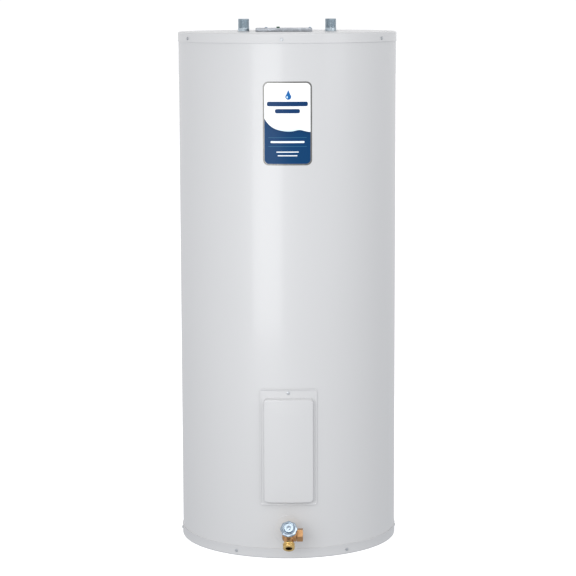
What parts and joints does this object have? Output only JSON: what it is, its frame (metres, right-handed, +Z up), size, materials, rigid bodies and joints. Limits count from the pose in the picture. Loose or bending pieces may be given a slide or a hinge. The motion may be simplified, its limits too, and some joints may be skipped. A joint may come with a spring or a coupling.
{
  "type": "tank water heater",
  "caption": "Tall cylindrical electric water heater with a screwed access panel, top pipe nipples, a wiring cover, a drain valve at the foot and a relief valve at the back.",
  "frame": {"origin": "on the floor, at the axis of the round jacket, under the bottom pan", "axes": "+Z up; -Y is the front with the label, access panel and drain valve; +X is the side of the cold inlet, on the right seen from the front"},
  "size_m": [0.5146, 0.6911, 1.227],
  "materials": {
    "white_enamel": "semi-gloss baked enamel",
    "label_film": "printed glossy film",
    "zinc_steel": "zinc plated",
    "galvanised": "galvanised sheet",
    "pipe_steel": "zinc-plated pipe",
    "black_steel": "mill finish",
    "foam": "rigid polyurethane foam",
    "fibre_pad": "glass fibre",
    "brass": "cast and turned",
    "spring_steel": "drawn wire",
    "magnesium": "cast",
    "copper": "drawn",
    "cream_plastic": "moulded",
    "blue_plastic": "moulded",
    "black_plastic": "moulded phenolic",
    "grey_plastic": "moulded",
    "orange_plastic": "flexible conduit",
    "red_plastic": "moulded",
    "black_rubber": "moulded",
    "black_wire": "wire insulation",
    "red_wire": "wire insulation",
    "blue_wire": "wire insulation",
    "green_steel": "dyed zinc",
    "element_alloy": "nickel alloy sheath"
  },
  "bodies": {
    "heater": {"outer_jacket": "white_enamel", "top_pan": "white_enamel", "bottom_pan": "white_enamel", "pan_screws": "zinc_steel", "front_label": "label_film", "compartment_dam": "cream_plastic", "foam_insulation": "foam", "base_insulator": "fibre_pad", "tank_shell": "black_steel", "tank_top_head": "black_steel", "tank_bottom_head": "black_steel", "pipe_spuds": "black_steel", "element_spud": "black_steel", "cold_nipple": "pipe_steel", "hot_nipple": "pipe_steel", "nipple_seals": "grey_plastic", "heat_traps": "blue_plastic", "cold_dip_tube": "cream_plastic", "anode_rod": "magnesium", "anode_core": "spring_steel", "anode_plug": "zinc_steel", "anode_cap": "cream_plastic", "relief_valve_body": "brass", "relief_valve_bonnet": "brass", "relief_valve_spring": "spring_steel", "relief_escutcheon": "white_enamel", "drain_valve_body": "brass", "drain_side_plug": "brass", "drain_packing_nut": "zinc_steel", "drain_escutcheon": "white_enamel", "heating_element": "element_alloy", "element_gasket": "black_rubber", "element_terminal_block": "black_plastic", "terminal_screws": "brass", "thermostat_bracket": "galvanised", "thermostat_body": "black_plastic", "limit_control": "black_plastic", "thermostat_cover": "grey_plastic", "conduit_tube": "orange_plastic", "black_lead": "black_wire", "red_lead": "red_wire", "element_leads": "blue_wire", "junction_box": "galvanised"},
    "panel": {"access_panel": "white_enamel", "access_panel_screw": "zinc_steel", "panel_insulation_pad": "fibre_pad"},
    "wiring_cover": {"junction_cover": "galvanised", "junction_cover_screws": "zinc_steel", "ground_screw": "green_steel"},
    "drain_plunger": {"drain_washer": "black_rubber"},
    "drain_handle": {"drain_stem": "zinc_steel", "drain_handwheel": "zinc_steel", "drain_handle_screw": "zinc_steel"},
    "relief_disc": {"relief_valve_disc": "brass", "relief_valve_probe": "copper", "relief_lever_pin": "spring_steel"},
    "relief_lever": {"relief_valve_lever": "zinc_steel"},
    "dial": {"thermostat_dial": "cream_plastic"},
    "reset": {"reset_button": "red_plastic"}
  },
  "joints": [
    {"name": "access_panel_off", "type": "slide", "parent": "heater", "child": "panel", "axis": [0, -1, 0], "range_m": [0, 0.16]},
    {"name": "wiring_cover_lift", "type": "slide", "parent": "heater", "child": "wiring_cover", "axis": [0, 0, 1], "range_m": [0, 0.08]},
    {"name": "drain_plunger_rise", "type": "slide", "parent": "heater", "child": "drain_plunger", "axis": [0, -0.766, 0.6428], "range_m": [0, 0.0061]},
    {"name": "drain_handle_turn", "type": "hinge", "parent": "drain_plunger", "child": "drain_handle", "pos_m": [0, -0.302, 0.0685], "axis": [0, -0.766, 0.6428], "range_deg": [0, 720]},
    {"name": "relief_disc_lift", "type": "slide", "parent": "heater", "child": "relief_disc", "axis": [0, 1, 0], "range_m": [0, 0.004], "deforming": ["relief_valve_spring"]},
    {"name": "relief_lever_turn", "type": "hinge", "parent": "relief_disc", "child": "relief_lever", "pos_m": [0, 0.346, 1.05], "axis": [-1, 0, 0], "range_deg": [0, 75], "stiffness_Nm_per_rad": 0.04, "springref_deg": -17.19},
    {"name": "temperature_dial_turn", "type": "hinge", "parent": "heater", "child": "dial", "pos_m": [0, -0.238, 0.256], "axis": [0, -1, 0], "range_deg": [-110, 110]},
    {"name": "reset_button_press", "type": "slide", "parent": "heater", "child": "reset", "axis": [0, 1, 0], "range_m": [0, 0.002], "stiffness_N_per_m": 1500}
  ],
  "couplings": [
    {"joint": "drain_plunger_rise", "follows": "drain_handle_turn", "m_per_rad": 0.00047746},
    {"joint": "relief_disc_lift", "follows": "relief_lever_turn", "m_per_rad": 0.0030555}
  ]
}
